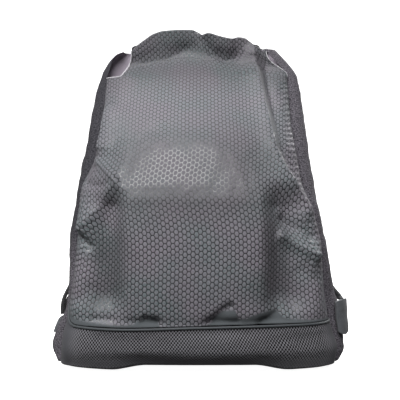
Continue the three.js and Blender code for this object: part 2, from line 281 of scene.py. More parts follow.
def arc_lengths(grid, axis):
    """Distance run along the grid's lines in one direction, from its first row or column."""
    gaps = np.linalg.norm(np.diff(grid, axis=axis), axis=-1)
    pad = [(0, 0), (0, 0)]
    pad[axis] = (1, 0)
    return np.cumsum(np.pad(gaps, pad), axis=axis)


# ---- meshes
def new_object(name, vertices, faces, materials, uv=None, smooth=True):
    """An object from points in mm; uv is one pair for each vertex, in mm along the cloth."""
    mesh = bpy.data.meshes.new(name)
    mesh.from_pydata((np.asarray(vertices, float) * MM).tolist(), [], [list(f) for f in faces])
    if uv is not None:
        layer = mesh.uv_layers.new(name="cloth")
        corner = np.empty(len(mesh.loops), int)
        mesh.loops.foreach_get("vertex_index", corner)
        layer.data.foreach_set("uv", np.asarray(uv, float)[corner].ravel().astype(np.float32))
    for material in materials:
        mesh.materials.append(material)
    mesh.polygons.foreach_set("use_smooth", [smooth] * len(mesh.polygons))
    mesh.update()
    made = bpy.data.objects.new(name, mesh)
    bpy.context.collection.objects.link(made)
    return made


def apply_modifiers(made):
    bpy.context.view_layer.update()
    evaluated = made.evaluated_get(bpy.context.evaluated_depsgraph_get())
    mesh = bpy.data.meshes.new_from_object(evaluated)
    made.modifiers.clear()
    made.data = mesh
    return made


def thicken(made, thickness, inner_slot=0):
    """Gives a single-layer cloth its thickness, inward, with a closed rim."""
    modifier = made.modifiers.new("thickness", "SOLIDIFY")
    modifier.thickness = thickness * MM
    modifier.offset = -1
    modifier.material_offset = inner_slot
    modifier.material_offset_rim = 0
    return apply_modifiers(made)


def grid_faces(index):
    """Quads over a grid of vertex numbers, leaving out those with a missing corner (-1)."""
    a, b, c, d = index[:-1, :-1], index[:-1, 1:], index[1:, 1:], index[1:, :-1]
    quads = np.stack([a, b, c, d], -1).reshape(-1, 4)
    return quads[(quads >= 0).all(axis=1)]


def cloth(name, grid, uv, materials, inner_slot=0, keep=None):
    """A cloth from a grid of points on its outer face, thickened inward. keep masks the grid."""
    keep = np.ones(grid.shape[:2], bool) if keep is None else keep
    index = np.full(keep.shape, -1)
    index[keep] = np.arange(keep.sum())
    made = new_object(name, grid[keep], grid_faces(index), materials, uv[keep])
    return thicken(made, CLOTH, inner_slot)


def kept(grid, outer, hem):
    """Mask of a cloth's grid: all of its outer face, and its hem rows where it has a hem."""
    keep = np.ones(grid.shape[:2], bool)
    keep[outer:] = hem > 0.02
    return keep


def frames_along(path):
    """Unit side and up at each point of a path, turned as little as possible."""
    tangent = np.gradient(path, axis=0)
    tangent /= np.linalg.norm(tangent, axis=1, keepdims=True)
    side = np.cross(tangent[0], (0.0, 0.3, 1.0) if abs(tangent[0][2]) < 0.9 else (1.0, 0.0, 0.0))
    sides = []
    for t in tangent:
        side = side - t * np.dot(side, t)
        side /= np.linalg.norm(side)
        sides.append(side)
    sides = np.array(sides)
    return sides, np.cross(tangent, sides)


def tube_mesh(path, radii, sides):
    """Points, faces and uv of a closed round tube along a path in mm."""
    side, up = frames_along(path)
    angle = np.arange(sides) / sides * 2 * math.pi
    ring = np.cos(angle)[None, :, None] * side[:, None] + np.sin(angle)[None, :, None] * up[:, None]
    points = path[:, None] + ring * radii[:, None, None]
    faces = []
    for low in range(0, (len(path) - 1) * sides, sides):
        for j in range(sides):
            k = (j + 1) % sides
            faces.append((low + j, low + k, low + sides + k, low + sides + j))
    faces.append(tuple(range(sides - 1, -1, -1)))
    faces.append(tuple(range((len(path) - 1) * sides, len(path) * sides)))
    around = (0.5 - np.abs(angle / (2 * math.pi) - 0.5)) * 2 * math.pi * radii.max()
    uv = np.stack(np.broadcast_arrays(around[None], arc_lengths(path[:, None], 0)), -1)
    return points.reshape(-1, 3), faces, uv.reshape(-1, 2)


def tube(name, path, radius, material, sides=16, taper=1):
    """A closed round tube whose two ends are narrowed to the share taper of its radius."""
    path = np.asarray(path, float)
    radii = np.full(len(path), float(radius))
    radii[0] = radii[-1] = radius * taper
    points, faces, uv = tube_mesh(path, radii, sides)
    return new_object(name, points, faces, [material], uv)


def between_knots(t, start, end, first, second):
    return (end - t) / (end - start) * first + (t - start) / (end - start) * second


def smooth_path(points, step):
    """Centripetal Catmull-Rom curve through points in mm, sampled evenly at about step."""
    p = np.asarray(points, float)
    p = np.vstack([2 * p[0] - p[1], p, 2 * p[-1] - p[-2]])
    dense = []
    for a, b, c, d in zip(p, p[1:], p[2:], p[3:]):
        t1 = math.sqrt(np.linalg.norm(b - a))
        t2 = t1 + math.sqrt(np.linalg.norm(c - b))
        t3 = t2 + math.sqrt(np.linalg.norm(d - c))
        t = np.linspace(t1, t2, 24, endpoint=False)[:, None]
        ab = between_knots(t, 0, t1, a, b)
        bc = between_knots(t, t1, t2, b, c)
        cd = between_knots(t, t2, t3, c, d)
        abc = between_knots(t, 0, t2, ab, bc)
        bcd = between_knots(t, t1, t3, bc, cd)
        dense.append(between_knots(t, t1, t2, abc, bcd))
    dense = np.vstack([*dense, p[-2]])
    length = arc_lengths(dense[:, None], 0)[:, 0]
    even = np.linspace(0, length[-1], max(2, int(round(length[-1] / step)) + 1))
    return np.stack([np.interp(even, length, dense[:, i]) for i in range(3)], -1)


STITCH = 2.6
STITCH_GAP = 0.9
STITCH_RADIUS = 0.32
STITCH_SECTION = np.array([(0, 0.35), (0.12, 0.85), (0.5, 1), (0.88, 0.85), (1, 0.35)])


def stitches(name, path):
    """A row of thread stitches lying on a path in mm."""
    line = smooth_path(path, 0.5)
    run = arc_lengths(line[:, None], 0)[:, 0]
    vertices, faces = [], []
    for start in np.arange(STITCH_GAP / 2, run[-1] - STITCH, STITCH + STITCH_GAP):
        at = start + STITCH_SECTION[:, 0] * STITCH
        middle = np.stack([np.interp(at, run, line[:, i]) for i in range(3)], -1)
        points, round_faces, _ = tube_mesh(middle, STITCH_SECTION[:, 1] * STITCH_RADIUS, 6)
        faces += [tuple(len(vertices) + corner for corner in face) for face in round_faces]
        vertices += points.tolist()
    return new_object(name, vertices, faces, [THREAD])


# ---- materials
class Nodes:
    """Short helpers for building one material's node tree."""

    def __init__(self, name):
        self.material = bpy.data.materials.new(name)
        self.material.use_nodes = True
        self.tree = self.material.node_tree
        self.shader = self.tree.nodes["Principled BSDF"]
        self.cloth = self.node("ShaderNodeUVMap", uv_map="cloth").outputs["UV"]

    def node(self, kind, **settings):
        made = self.tree.nodes.new(kind)
        for name, value in settings.items():
            setattr(made, name, value)
        return made

    def put(self, socket, value):
        if isinstance(value, bpy.types.NodeSocket):
            self.tree.links.new(value, socket)
        else:
            socket.default_value = value

    def fed(self, made, *values):
        """A node's first output, with values put into its sockets in turn."""
        for socket, value in zip(made.inputs, values):
            self.put(socket, value)
        return made.outputs[0]

    def math(self, operation, *values):
        return self.fed(self.node("ShaderNodeMath", operation=operation), *values)

    def plus(self, first, second):
        return self.math("ADD", first, second)

    def minus(self, first, second):
        return self.math("SUBTRACT", first, second)

    def times(self, first, second):
        return self.math("MULTIPLY", first, second)

    def split(self, vector):
        made = self.node("ShaderNodeSeparateXYZ")
        self.put(made.inputs[0], vector)
        return made.outputs[0], made.outputs[1]

    def join(self, x, y, z=0.0):
        return self.fed(self.node("ShaderNodeCombineXYZ"), x, y, z)

    def between(self, value, low, high, at_low=0.0, at_high=1.0):
        made = self.node("ShaderNodeMapRange", interpolation_type="SMOOTHSTEP")
        return self.fed(made, value, low, high, at_low, at_high)

    def hump(self, value, start, full, fading, gone, peak=1.0):
        """peak between full and fading, and 0 before start and after gone."""
        return self.times(self.between(value, start, full), self.between(value, fading, gone, peak, 0.0))

    def mix(self, factor, first, second):
        made = self.node("ShaderNodeMix", data_type="RGBA")
        for place, value in ((0, factor), (6, first), (7, second)):
            self.put(made.inputs[place], value)
        return made.outputs[2]

    def cloudy(self, scale, detail=2.0, vector=None):
        """Soft noise, by default over the cloth; a larger scale is finer."""
        made = self.node("ShaderNodeTexNoise")
        self.put(made.inputs["Vector"], self.cloth if vector is None else vector)
        self.put(made.inputs["Scale"], scale)
        self.put(made.inputs["Detail"], detail)
        return made.outputs["Fac"]

    def bump(self, height, distance):
        made = self.node("ShaderNodeBump")
        self.put(made.inputs["Height"], height)
        self.put(made.inputs["Distance"], distance)
        self.put(self.shader.inputs["Normal"], made.outputs[0])

    def set(self, **values):
        for name, value in values.items():
            self.put(self.shader.inputs[name.replace("_", " ")], value)


def grey(red, green, blue):
    """A linear colour from display values of 0 to 255."""
    display = (red / 255, green / 255, blue / 255)
    return (*(((c + 0.055) / 1.055) ** 2.4 if c > 0.04 else c / 12.92 for c in display), 1.0)


HEX_ACROSS = 4.2  # from one column of cells to the next, in mm
HEX_UP = 6.0  # from one cell to the next up a column


def hexagon_depth(n, x, y):
    """0 at a cell's border and 1 at its middle, over columns of flat-topped hexagons."""
    half = math.sqrt(3) / 2

    def lattice(x_shift, y_shift):
        px = n.minus(n.math("FLOORED_MODULO", n.plus(x, x_shift), 3.0), 1.5)
        px = n.math("ABSOLUTE", px)
        py = n.minus(n.math("FLOORED_MODULO", n.plus(y, y_shift), 2 * half), half)
        py = n.math("ABSOLUTE", py)
        slanted = n.plus(n.times(py, 0.5), n.times(px, half))
        return n.math("MAXIMUM", py, slanted)

    nearest = n.math("MINIMUM", lattice(1.5, half), lattice(0.0, 0.0))
    return n.minus(1.0, n.math("DIVIDE", nearest, half))


# Where plain patches, painted shade of the puckers folding under, stand over the band seam in place of
# the honeycomb: place across and height, in mm
PUCKER_SHADE_PATCHES = [
    (-170, 7), (-145, 6), (-80, 3), (-58, 8), (-48, 8), (-42, 0), (4, 0), (18, 12), (37, 17), (41, 7),
    (58, 11), (80, 14), (92, 6), (130, 3), (170, 4)]
PLAIN_HALF = 170.0  # the curve's reach to each side
PLAIN_HIGH = 20.0


def pucker_shade_height(n, u):
    """Height of the painted pucker shade at u, from a curve through the patches listed above."""
    made = n.node("ShaderNodeFloatCurve")
    curve = made.mapping.curves[0]
    spots = [((x + PLAIN_HALF) / 2 / PLAIN_HALF, height / PLAIN_HIGH) for x, height in PUCKER_SHADE_PATCHES]
    curve.points[0].location = spots[0]
    curve.points[1].location = spots[-1]
    for spot in spots[1:-1]:
        curve.points.new(*spot)
    made.mapping.update()
    n.put(made.inputs["Value"], n.math("DIVIDE", n.plus(u, PLAIN_HALF), 2 * PLAIN_HALF))
    return n.times(made.outputs[0], PLAIN_HIGH)


# Places on the front cloth, in mm: to the right of its middle line, and up from the band seam
FILLING_U = -9.0  # the middle of the filling
FLANK = 94.0  # from there to the middle of the slack strip down each flank
RIDGE_V = 230.0  # height of the filling's ridge


def painted_flank_shade(n, u, v):
    """1 down the middle of the strips beside the filling where the cloth drops back and lies in shade:
    the mask of the painted shade there.
    """
    sway = n.times(n.minus(n.cloudy(0.02, 1.0), 0.5), 40.0)
    off = n.minus(n.math("ABSOLUTE", n.plus(n.plus(u, sway), -FILLING_U)), FLANK)
    strip = n.between(n.math("ABSOLUTE", off), 2.0, 40.0, 1.0, 0.0)
    return n.times(strip, n.hump(v, 0.0, 40.0, 80.0, 125.0))


def coated_front():
    n = Nodes("coated honeycomb cloth")
    u, v = n.split(n.cloth)
    above = n.minus(v, pucker_shade_height(n, u))
    printed = n.between(n.plus(above, n.cloudy(0.25, 2.0)), -1.5, 2.0)
    # mask of the painted shade down both flanks of the filling
    flank_shade = painted_flank_shade(n, u, v)
    depth = hexagon_depth(n, n.times(u, 1.5 / HEX_ACROSS), n.times(v, math.sqrt(3) / HEX_UP))
    cell = n.between(depth, 0.05, 0.27)
    patches = n.between(n.cloudy(0.018), 0.35, 0.65)
    uneven = n.between(n.cloudy(0.35, 4.0), 0.3, 0.7)
    cell_tone = n.mix(patches, grey(108, 101, 110), grey(90, 100, 102))
    cell_tone = n.mix(uneven, cell_tone, grey(112, 111, 116))
    line_tone = n.mix(patches, grey(21, 20, 23), grey(17, 20, 22))
    # painted light: paler cells over the ridge, which faces the lamp; painted shade: dimmer cells above
    # the filling's middle, so the glossy lines stand out there
    painted_ridge_light = n.hump(v, RIDGE_V - 55.0, RIDGE_V, RIDGE_V + 30.0, RIDGE_V + 90.0, 0.25)
    cell_tone = n.mix(painted_ridge_light, cell_tone, grey(126, 126, 132))
    # painted shade: dimmer cells above the filling's middle
    painted_middle_shade = n.hump(v, 95.0, 140.0, 170.0, 255.0)
    beside = n.math("ABSOLUTE", n.plus(u, 6.0))
    painted_middle_shade = n.times(painted_middle_shade, n.between(beside, 50.0, 125.0, 1.0, 0.0))
    cell_tone = n.mix(n.times(painted_middle_shade, 0.6), cell_tone, grey(82, 80, 84))
    # painted shade: plain deep-toned patches over the band seam, where the puckers fold under
    tone = n.mix(printed, grey(68, 72, 75), n.mix(cell, line_tone, cell_tone))
    # painted shade towards the mouth, and down the shaded flanks beside the filling
    painted_mouth_shade = n.times(n.between(v, 270.0, 330.0), 0.3)
    painted_shade = n.math("MAXIMUM", n.times(flank_shade, 0.45), painted_mouth_shade)
    n.set(Base_Color=n.mix(painted_shade, tone, grey(14, 18, 20)))
    # glossy lines, less so towards the mouth, round matt cells
    matt = n.math("MAXIMUM", cell, n.minus(1.0, printed))
    gloss = n.between(v, 190.0, 270.0, 0.32, 0.47)
    n.set(Roughness=n.between(matt, 0.0, 1.0, gloss, 1.0), Specular_IOR_Level=0.7)
    weave = n.cloudy(3.0, 1.0)
    raised = n.times(n.between(depth, 0.1, 0.6), n.times(printed, 0.8))
    n.bump(n.plus(raised, n.times(weave, 0.2)), 0.00022)
    return n.material


def plain_cloth(name, scale, tone, paler, **settings):
    n = Nodes(name)
    threads = n.cloudy(scale, 3.0)
    n.set(Base_Color=n.mix(threads, tone, paler), **settings)
    n.bump(threads, 0.0002)
    return n.material


HOLE_ACROSS = 3.35  # from one hole of the mesh to the next, in mm
HOLE_UP = 4.3


def mesh_band():
    n = Nodes("sandwich mesh")
    u, v = n.split(n.cloth)
    sway = n.times(n.minus(n.cloudy(0.03, 1.0), 0.5), 3.0)
    x = n.times(n.plus(u, sway), 2 * math.pi / HOLE_ACROSS)
    y = n.times(v, 2 * math.pi / HOLE_UP)
    waves = n.times(n.math("COSINE", x), n.math("COSINE", y))
    plain_end = n.between(n.math("ABSOLUTE", u), 128.0, 150.0)
    plain_foot = n.between(v, 38.0, 43.0, 1.0, 0.0)
    plain = n.math("MAXIMUM", plain_end, n.times(plain_foot, 0.6))
    hole = n.times(n.between(waves, -0.25, 0.3), n.minus(1.0, plain))
    fibres = n.cloudy(2.5, 3.0)
    open_knit = n.mix(n.cloudy(0.02, 1.0), grey(112, 109, 115), grey(100, 103, 107))
    knit = n.mix(plain, n.mix(fibres, open_knit, grey(128, 126, 131)), grey(70, 70, 74))
    n.set(Base_Color=n.mix(hole, knit, grey(4, 4, 5)))
    n.set(Roughness=0.75, Specular_IOR_Level=0.3, Sheen_Weight=0.05)
    n.bump(n.minus(n.times(fibres, 0.2), hole), 0.0006)
    return n.material


def heather_back():
    n = Nodes("heather back cloth")
    u, v = n.split(n.cloth)
    grain = n.cloudy(0.55, 5.0)
    weft = n.cloudy(1.0, 2.0, n.join(n.times(u, 0.5), n.times(v, 1.6)))
    warp = n.cloudy(1.0, 2.0, n.join(n.times(u, 1.6), n.times(v, 0.5)))
    yarn = n.plus(n.times(weft, 0.5), n.times(warp, 0.5))
    mottle = n.between(n.plus(n.times(yarn, 0.6), n.times(grain, 0.4)), 0.39, 0.61)
    # the upper side strip by the front's seam lies in shade
    strip = n.times(n.between(u, 12.0, 26.0, 1.0, 0.0), n.between(v, 130.0, 190.0))
    tone = n.mix(mottle, grey(25, 24, 28), grey(108, 104, 111))
    n.set(Base_Color=n.mix(n.times(strip, 0.65), tone, grey(24, 26, 30)))
    n.set(Roughness=0.9, Specular_IOR_Level=0.2, Sheen_Weight=0.03)
    n.bump(yarn, 0.0004)
    return n.material


RIB = 1.4  # from one rib of the tapes to the next, in mm


def tape(name, tone, paler):
    n = Nodes(name)
    _, v = n.split(n.cloth)
    ribs = n.math("SINE", n.times(v, 2 * math.pi / RIB))
    cloudy = n.cloudy(0.8, 3.0)
    n.set(Base_Color=n.mix(cloudy, tone, paler))
    n.set(Roughness=0.65, Sheen_Weight=0.1)
    n.bump(n.plus(n.times(ribs, 0.3), cloudy), 0.00015)
    return n.material


def binding_tape():
    """The tape of the inner bindings, which carry no cloth coordinates of their own."""
    n = Nodes("inner binding tape")
    place = n.node("ShaderNodeTexCoord").outputs["Object"]
    cloudy = n.cloudy(900.0, 3.0, place)
    n.set(Base_Color=n.mix(cloudy, grey(40, 41, 44), grey(62, 63, 67)))
    n.set(Roughness=0.7)
    n.bump(cloudy, 0.0002)
    return n.material


def braid():
    n = Nodes("braided cord")
    around, along = n.split(n.cloth)
    right = n.math("SINE", n.times(n.plus(along, around), 2.6))
    left = n.math("SINE", n.times(n.minus(along, around), 2.6))
    strands = n.math("MAXIMUM", right, left)
    n.set(Base_Color=n.mix(n.between(strands, -0.2, 0.9), grey(14, 14, 16), grey(38, 38, 42)))
    n.set(Roughness=0.55, Sheen_Weight=0.1)
    n.bump(strands, 0.0005)
    return n.material


def thread():
    n = Nodes("sewing thread")
    place = n.node("ShaderNodeTexCoord").outputs["Object"]
    twist = n.cloudy(2500.0, 1.0, place)
    n.set(Base_Color=n.mix(twist, grey(30, 31, 33), grey(74, 74, 78)))
    n.set(Roughness=0.5)
    return n.material


FRONT = coated_front()
LINING = plain_cloth("plain lining", 1.6, grey(140, 131, 143), grey(176, 167, 179),
                     Roughness=0.7, Sheen_Weight=0.15)
HEM_EDGE = plain_cloth("pale turned edge", 1.2, grey(168, 166, 170), grey(206, 205, 208),
                       Roughness=0.6)
MESH = mesh_band()
BACK = heather_back()
PIPING_TAPE = tape("piping tape", grey(44, 48, 51), grey(62, 66, 69))
TAB_TAPE = tape("tab tape", grey(56, 59, 62), grey(92, 94, 98))
BINDING = binding_tape()
BRAID = braid()
THREAD = thread()


# ---- camera
def point_at(obj, target):
    obj.rotation_euler = (Vector(target) - obj.location).to_track_quat("-Z", "Y").to_euler()


def add_camera():
    data = bpy.data.cameras.new("camera")
    data.lens = 46.95
    data.sensor_width = 36
    data.clip_start = 0.01
    camera = bpy.data.objects.new("camera", data)
    bpy.context.collection.objects.link(camera)
    camera.location = (0, -0.620, 0.193)
    point_at(camera, (0, 0, 0.193))
    bpy.context.scene.camera = camera


add_camera()

# ---- drawcords, in mm
# Each leaves its tab, climbs behind the bag, crosses in the front hem tunnel, turns round,
# crosses back in the back tunnel and comes down beside its first strand.
LEFT_UP = [
    (-168, 16, 53.5), (-168.5, 18, 62), (-167, 23, 73), (-162, 31, 86), (-155, 42, 102),
    (-148, 51, 120), (-140, 59, 150), (-135, 62, 190), (-119, 67, 270), (-107, 71, 330),
    (-98, 75, 357), (-91, 76, 375), (-88, 75.5, 384), (-87, 71, 389), (-87, 63, 389.5)]
LEFT_FRONT = [
    (-87, 63, 389.5), (-85, 54, 389), (-78, 48, 389), (-68, 46, 390), (-58, 46, 393), (-30, 46, 397),
    (0, 46, 397), (30, 46, 393), (58, 46, 389), (69, 46.5, 389), (74, 50, 389), (74, 58, 389),
    (69, 63, 388.5)]
LEFT_DOWN = [
    (69, 63, 388.5), (58, 65, 388), (0, 65, 391), (-58, 65, 388), (-69, 64, 390), (-77, 67, 392),
    (-81, 72, 390.5), (-83, 76, 385), (-85, 76.5, 375), (-89, 75, 355), (-98, 72, 328),
    (-111, 69, 270), (-128, 65, 190), (-134, 62, 150), (-138, 59.5, 120), (-148, 51.5, 98),
    (-159, 41, 80), (-166, 31, 66), (-168, 25, 53.5)]
RIGHT_UP = [
    (172, 10, 71.5), (170, 14.5, 76), (166, 24, 82), (162, 34, 89), (153, 49, 101), (144, 55.5, 120),
    (134, 59, 150), (126, 62, 190), (113, 67, 270), (103, 71, 330), (96, 75, 357), (90, 76, 375),
    (88, 75.5, 384), (87, 71, 388.5), (87, 63, 388.5)]
RIGHT_FRONT = [
    (87, 63, 388.5), (85, 54, 386), (79, 48, 383), (70, 44.5, 381.5), (58, 44, 382), (30, 44, 385.5),
    (0, 44, 390), (-30, 44, 390.5), (-58, 44, 386), (-69, 44.5, 382), (-74, 48, 380),
    (-74, 57, 379.5), (-69, 63, 379)]
RIGHT_DOWN = [
    (-69, 63, 379), (-58, 65, 379), (0, 65, 382), (58, 65, 379), (67, 63.5, 381), (74, 62.5, 385),
    (79, 67, 389.5), (82, 74, 388), (83, 76.5, 380), (87, 75, 355), (94, 72, 328), (105, 69, 270),
    (119, 65, 190), (128, 62, 150), (138, 59.5, 120), (151, 52, 97), (161, 40, 84), (167, 25, 76),
    (171, 4, 73)]


def cord_parts(up, front, down):
    """The one curve through all three routes, sampled finely and cut at the routes' ends."""
    whole = smooth_path(up + front[1:] + down[1:], 2.0)
    tunnel = 1 - ramp(whole[:, 1], 48, 60)
    whole[:, 1] -= tunnel * front_relief(whole[:, 0], whole[:, 2])
    cuts = [int(np.argmin(np.linalg.norm(whole - np.array(end), axis=1))) for end in (front[0], down[0])]
    return whole[: cuts[0] + 1], whole[cuts[0] : cuts[1] + 1], whole[cuts[1] :]


def add_cord(side, parts):
    made = []
    for stretch, path in zip(("rising", "in_front_hem", "returning"), parts):
        piece = tube(f"{side}_cord_{stretch}", path, CORD / 2, BRAID)
        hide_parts(f"{side}_drawcord")
        made.append(piece)
    rising, crossing, returning = made
    for strand in (rising, returning):
        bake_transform(strand)
    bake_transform(crossing)


add_cord("left", cord_parts(LEFT_UP, LEFT_FRONT, LEFT_DOWN))
add_cord("right", cord_parts(RIGHT_UP, RIGHT_FRONT, RIGHT_DOWN))


# ---- front cloth
# Section of the lip: how far it has leaned back, by its height; it stands upright over the cords
lip_lean = profile((0, 0), (0.15, 0.38), (0.3, 0.7), (0.45, 0.9), (0.6, 0.95), (0.8, 0.86), (1, 0.76))


def front_columns(count):
    """Places across the front, close together at both seams and at the lip's left edge."""
    c = -np.cos(np.pi * steps(count))
    at_notch = np.linspace(-0.87, -0.784, 44)
    return np.unique(np.concatenate([np.sign(c) * np.abs(c) ** 0.77, at_notch]))


LIP_LAP = 4  # the lip's shape starts this far below the fold line


def crown_point(across, rise):
    """The lip over the fold line: rise runs from 0 at its foot to 1 on its top edge."""
    low = FOLD_LINE - LIP_LAP
    foot = front_point(across, low)
    top_x = -88 + 172 * (foot[..., 0] + 96) / 207  # the lip's top edge is shorter than its foot
    z = low + (lip_top(top_x) - LIP_ROLL - low) * rise
    drawn = ramp(rise, 0.2, 1)
    x = front_point(across, z)[..., 0] * (1 - drawn) + top_x * drawn
    y = foot[..., 1] + (LIP_Y - foot[..., 1]) * lip_lean(rise)
    return np.stack([x, y, z], -1)


def edge_calm(across):
    """Folds lie flat where the cloth is sewn to the side strips."""
    return 1 - 0.75 * ramp(np.abs(across), 0.93, 1.0)


# Share of the lip's height that the cloth reaches, by place across: a rounded notch at the left
notch_reach = profile(
    (-117, 0), (-101, 0), (-98, 0.02), (-96, 0.1), (-94.9, 0.27), (-94.3, 0.5), (-93.7, 0.78),
    (-93.1, 1))

HEM_DOWN = 34  # from a hem's top edge down to its row of stitches
# Section of the hem folded down inside the mouth: how far down and how far in
HEM = [
    (-0.7, 1.2), (-0.9, 3.5), (-0.5, 6.0), (1.2, 8.6), (5, 10.8), (10, 11.5), (17, 11.6), (24, 11),
    (29, 9), (32, 6.5), (34, 4.6), (36.5, 3.8)]


def front_grid():
    across = front_columns(300)
    seam_z = band_seam(across) + 1.7
    rows = []
    for step in steps(230):
        rows.append(front_point(across, seam_z + (FOLD_LINE - LIP_LAP - seam_z) * step))
    reach = notch_reach(front_point(across, FOLD_LINE)[:, 0])
    for step in steps(40)[1:]:
        rows.append(crown_point(across, (0.05 + 0.95 * reach) * step))
    return across, np.array(rows)


def turned_in(grid, hem):
    """The hem rows folded down inside the mouth, following the lip's own rows."""
    columns = np.arange(grid.shape[1])
    top = grid[-1]
    rows = []
    for down, inward in HEM:
        z = top[:, 2] - down * hem
        level = np.abs(grid[:, :, 2] - z).argmin(axis=0) if down > 1 else len(grid) - 1
        row = grid[level, columns].copy()
        row[:, 1] += inward * hem
        row[:, 2] = z
        rows.append(row)
    return np.array(rows)


def cloth_noise(points):
    """Fine creasing of the coated cloth, mostly running up it."""
    return wrinkle(points * [1.0, 1.0, 0.55], 1 / 26, 3.1) * 0.7 + wrinkle(points, 1 / 9, 11.7) * 0.16


RIPPLE = 6.6  # from one seam ripple to the next


def seam_ripples(across, points):
    """Small ripples where the stitching shortens the cloth along both side seams."""
    x, z = points[..., 0], points[..., 2]
    near = hump(np.abs(across), 0.76, 0.92, 0.98, 1)
    bends = 1.6 * np.sin(x / 5 + z / 23) + 0.7 * np.sin(z / 11)
    return 0.32 * near[None] * hump(z, 80, 130, 330, 350) * np.sin(z * 2 * math.pi / RIPPLE + bends)


def hem_stitching(name, grid, hem):
    """The row of stitches that closes a hem tunnel, on a cloth's outer face."""
    level = np.abs(grid[:, :, 2] - (grid[-1, :, 2] - HEM_DOWN)).argmin(axis=0)
    line = grid[level, np.arange(grid.shape[1])][hem > 0.9]
    return stitches(name, line[::4])


def add_front():
    across, flat = front_grid()
    outer = len(flat)
    relief = front_relief(flat[..., 0], flat[..., 2]) + cloth_noise(flat)
    relief = relief * edge_calm(across) + seam_ripples(across, flat)
    relief *= 0.25 + 0.75 * ramp(flat[..., 2], BAND_SEAM, BAND_SEAM + 9)
    grid = flat + normals_of(flat) * relief[..., None]
    hem = hump(flat[-1, :, 0], -84, -70, 68, 80)
    grid = np.concatenate([grid, turned_in(grid, hem)])
    flat = np.concatenate([flat, turned_in(flat, hem)])
    s = arc_lengths(flat, 1)
    middle = int(np.argmin(np.abs(across)))
    s = s - s[:, middle : middle + 1]
    fold_row = int(np.argmin(np.abs(flat[:, middle, 2] - FOLD_LINE)))
    s[fold_row:] = s[fold_row]
    t = arc_lengths(flat, 0)
    t[: fold_row + 1] = t[: fold_row + 1, middle : middle + 1]
    t[fold_row:] = t[fold_row, middle] + t[fold_row:] - t[fold_row : fold_row + 1]
    made = cloth("front_cloth", grid, np.stack([s, t], -1), [FRONT, LINING], inner_slot=1,
                 keep=kept(grid, outer, hem))
    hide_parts("front_panel", "front_lip", "front_casing")
    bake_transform(made)
    sewn = hem_stitching("front_hem_stitching", grid[:outer], hem)
    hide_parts("front_casing")
    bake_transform(sewn)
    return grid[:outer], across


def add_turned_edges(face, across):
    """The thin pale edges at both sides of the lip, along the front cloth's outer face."""
    left = face[-1][across < -0.78][1:]
    right = face[:, -1][face[:, -1, 2] > FOLD_LINE - 1]
    for name, line, radius in (("left_turned_edge", left, 0.65), ("right_turned_edge", right, 0.45)):
        made = tube(name, smooth_path(line, 1.0), radius, HEM_EDGE, sides=10, taper=0.4)
        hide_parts("front_lip")
        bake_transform(made)


add_turned_edges(*add_front())


# ---- mesh base band and piping
def band_relief(x, z):
    waves = 1.6 * np.sin(x / 31 + 1.0) * hump(z, 6, 24, 40, 54)
    return waves + 1.2 * np.exp(-((z - 30) / 14) ** 2)


def add_band():
    across = front_columns(190)
    seam_z = band_seam(across) - 1.4
    rows = [tucked(front_point(across, BASE_EDGE), inset, lift) for inset, lift in UNDER]
    for step in steps(52):
        row = front_point(across, BASE_EDGE + (seam_z - BASE_EDGE) * step)
        row[:, 2] += sag(row[:, 0]) * (1 - step) ** 2
        rows.append(row)
    grid = np.array(rows)
    flat = grid.copy()
    relief = band_relief(flat[..., 0], flat[..., 2]) + cloth_noise(flat + 400) * 0.8
    relief *= edge_calm(across) * (1 - ramp(flat[..., 2], 46, 54))
    relief[: len(UNDER)] *= 0.2
    grid += normals_of(flat) * relief[..., None]
    grid[..., 2] = np.maximum(grid[..., 2], LOWEST)
    s = arc_lengths(flat, 1)
    middle = int(np.argmin(np.abs(across)))
    s = np.repeat((s[-1] - s[-1, middle])[None], len(flat), 0)
    t = np.repeat(arc_lengths(flat, 0)[:, middle : middle + 1], len(across), 1)
    made = cloth("mesh_band_cloth", grid, np.stack([s, t], -1), [MESH])
    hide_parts("mesh_base_band")
    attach(made, "bag")


def add_piping():
    across = front_columns(120)[1:-1]
    line = front_point(across, band_seam(across) + 0.15)
    line[:, 1] -= 0.35
    made = tube("band_piping", line, PIPING / 2, PIPING_TAPE, sides=12, taper=0.6)
    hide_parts("band_seam_piping")
    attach(made, "bag")


add_band()
add_piping()


# ---- back cloth and bottom
BACK_HEM = [
    (-0.7, 1.2), (-0.9, 3.6), (-0.2, 5.8), (1.5, 8.2), (5, 10.4), (10, 11.2), (17, 11.4), (24, 10.8),
    (29, 9), (32, 6.6), (35, 4.4), (38, 3.6)]
BACK_TOP = 386  # top of the right side strip, and of the outlines by height


def back_columns():
    """Places round the back, close together at the side seams."""
    strip = (1 - np.cos(np.pi * steps(60))) / 2
    wall = 1 + 2 * steps(150)
    return np.concatenate([strip[:-1], wall, 4 - strip[::-1][1:]])


# Soft creases of the back, given like the front's
BACK_FOLDS = [
    ([(-58, 372), (-50, 290), (-57, 205), (-76, 120), (-104, 70)], -4, 16, 9, 0.25),
    ([(14, 388), (26, 310), (16, 215), (24, 150)], -3.2, 10, 18, 0.3),
    ([(60, 368), (48, 270), (58, 165), (90, 84)], -4, 12, 12, 0.25),
    ([(-30, 190), (-8, 120), (-20, 40)], -3, 20, 12, 0.3),
    ([(-20, 350), (-34, 300), (-28, 250)], -2.4, 8, 14, 0.35),
    ([(112, 52), (66, 66), (18, 58)], -3, 10, 16, 0.3),
    ([(-120, 46), (-84, 60), (-50, 54)], -3, 10, 14, 0.3),
]


